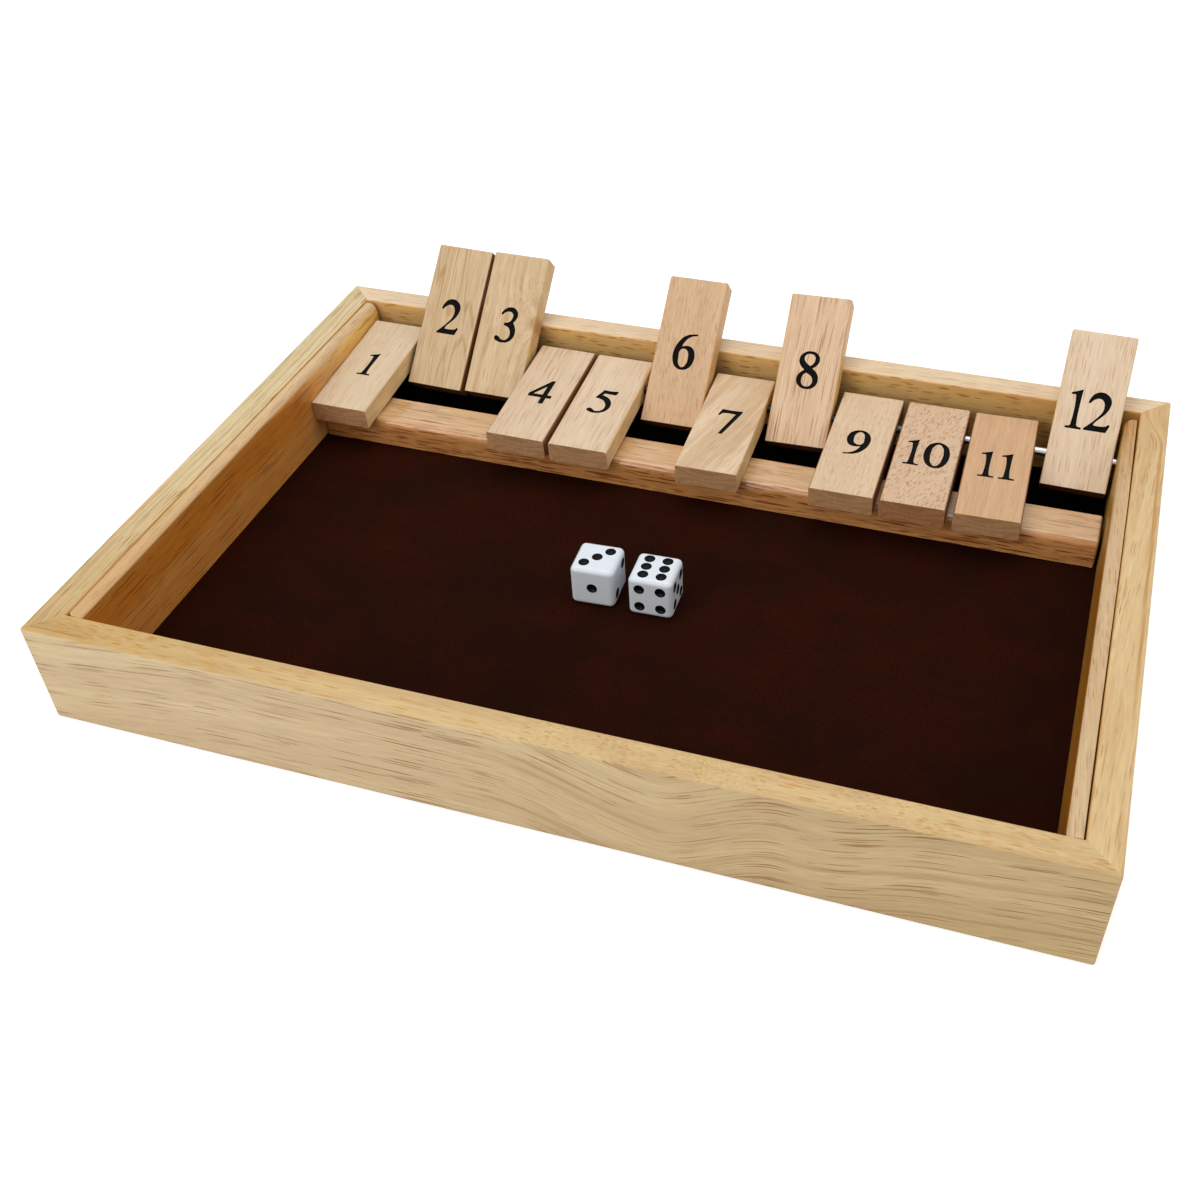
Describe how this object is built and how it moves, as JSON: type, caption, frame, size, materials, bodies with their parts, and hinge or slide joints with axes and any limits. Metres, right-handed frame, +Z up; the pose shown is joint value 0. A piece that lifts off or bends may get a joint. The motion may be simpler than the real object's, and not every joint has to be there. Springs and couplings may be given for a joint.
{
  "type": "shut the box game",
  "caption": "Open wooden dice tray with a row of hinged numbered tiles on a steel rod along its back, a rest rail under them, and a pair of dice.",
  "frame": {"origin": "middle of the underside of the box", "axes": "+Z up, +X to the player's right, +Y from the player to the row of tiles along the back"},
  "size_m": [0.343, 0.2438, 0.063],
  "materials": {
    "frame_wood": "satin lacquer",
    "strip_wood": "satin lacquer",
    "rail_wood": "gloss varnish",
    "tile_wood": "satin lacquer, numerals filled black",
    "base_ply": "bare sanded plywood",
    "board_fibre": "bare hardboard",
    "mat_leatherette": "fine grained dark brown leatherette",
    "rod_steel": "bright drawn",
    "die_plastic": "polished, pips filled black"
  },
  "bodies": {
    "tray": {"front_wall": "frame_wood", "back_wall": "frame_wood", "left_wall": "frame_wood", "right_wall": "frame_wood", "base_board": "base_ply", "mat_board": "board_fibre", "playing_mat": "mat_leatherette", "left_strip": "strip_wood", "right_strip": "strip_wood", "tile_rail": "rail_wood", "hinge_rod": "rod_steel"},
    "tile_1": {"tile_1": "tile_wood"},
    "tile_2": {"tile_2": "tile_wood"},
    "tile_3": {"tile_3": "tile_wood"},
    "tile_4": {"tile_4": "tile_wood"},
    "tile_5": {"tile_5": "tile_wood"},
    "tile_6": {"tile_6": "tile_wood"},
    "tile_7": {"tile_7": "tile_wood"},
    "tile_8": {"tile_8": "tile_wood"},
    "tile_9": {"tile_9": "tile_wood"},
    "tile_10": {"tile_10": "tile_wood"},
    "tile_11": {"tile_11": "tile_wood"},
    "tile_12": {"tile_12": "tile_wood"},
    "die_left": {"die_left": "die_plastic"},
    "die_right": {"die_right": "die_plastic"}
  },
  "joints": [
    {"name": "tile_1_hinge", "type": "hinge", "parent": "tray", "child": "tile_1", "pos_m": [0, 0.0893, 0.0279], "axis": [-1, 0, 0], "range_deg": [0, 141.18]},
    {"name": "tile_2_hinge", "type": "hinge", "parent": "tray", "child": "tile_2", "pos_m": [0, 0.0893, 0.0279], "axis": [-1, 0, 0], "range_deg": [-141.18, 0]},
    {"name": "tile_3_hinge", "type": "hinge", "parent": "tray", "child": "tile_3", "pos_m": [0, 0.0893, 0.0279], "axis": [-1, 0, 0], "range_deg": [-141.18, 0]},
    {"name": "tile_4_hinge", "type": "hinge", "parent": "tray", "child": "tile_4", "pos_m": [0, 0.0893, 0.0279], "axis": [-1, 0, 0], "range_deg": [0, 141.18]},
    {"name": "tile_5_hinge", "type": "hinge", "parent": "tray", "child": "tile_5", "pos_m": [0, 0.0893, 0.0279], "axis": [-1, 0, 0], "range_deg": [0, 141.18]},
    {"name": "tile_6_hinge", "type": "hinge", "parent": "tray", "child": "tile_6", "pos_m": [0, 0.0893, 0.0279], "axis": [-1, 0, 0], "range_deg": [-141.18, 0]},
    {"name": "tile_7_hinge", "type": "hinge", "parent": "tray", "child": "tile_7", "pos_m": [0, 0.0893, 0.0279], "axis": [-1, 0, 0], "range_deg": [0, 141.18]},
    {"name": "tile_8_hinge", "type": "hinge", "parent": "tray", "child": "tile_8", "pos_m": [0, 0.0893, 0.0279], "axis": [-1, 0, 0], "range_deg": [-141.18, 0]},
    {"name": "tile_9_hinge", "type": "hinge", "parent": "tray", "child": "tile_9", "pos_m": [0, 0.0893, 0.0279], "axis": [-1, 0, 0], "range_deg": [0, 141.18]},
    {"name": "tile_10_hinge", "type": "hinge", "parent": "tray", "child": "tile_10", "pos_m": [0, 0.0893, 0.0279], "axis": [-1, 0, 0], "range_deg": [0, 141.18]},
    {"name": "tile_11_hinge", "type": "hinge", "parent": "tray", "child": "tile_11", "pos_m": [0, 0.0893, 0.0279], "axis": [-1, 0, 0], "range_deg": [0, 141.18]},
    {"name": "tile_12_hinge", "type": "hinge", "parent": "tray", "child": "tile_12", "pos_m": [0, 0.0893, 0.0279], "axis": [-1, 0, 0], "range_deg": [-141.18, 0]},
    {"name": "die_left_lift", "type": "slide", "parent": "tray", "child": "die_left", "axis": [0, 0, 1], "range_m": [0, 0.08]},
    {"name": "die_right_lift", "type": "slide", "parent": "tray", "child": "die_right", "axis": [0, 0, 1], "range_m": [0, 0.08]}
  ]
}
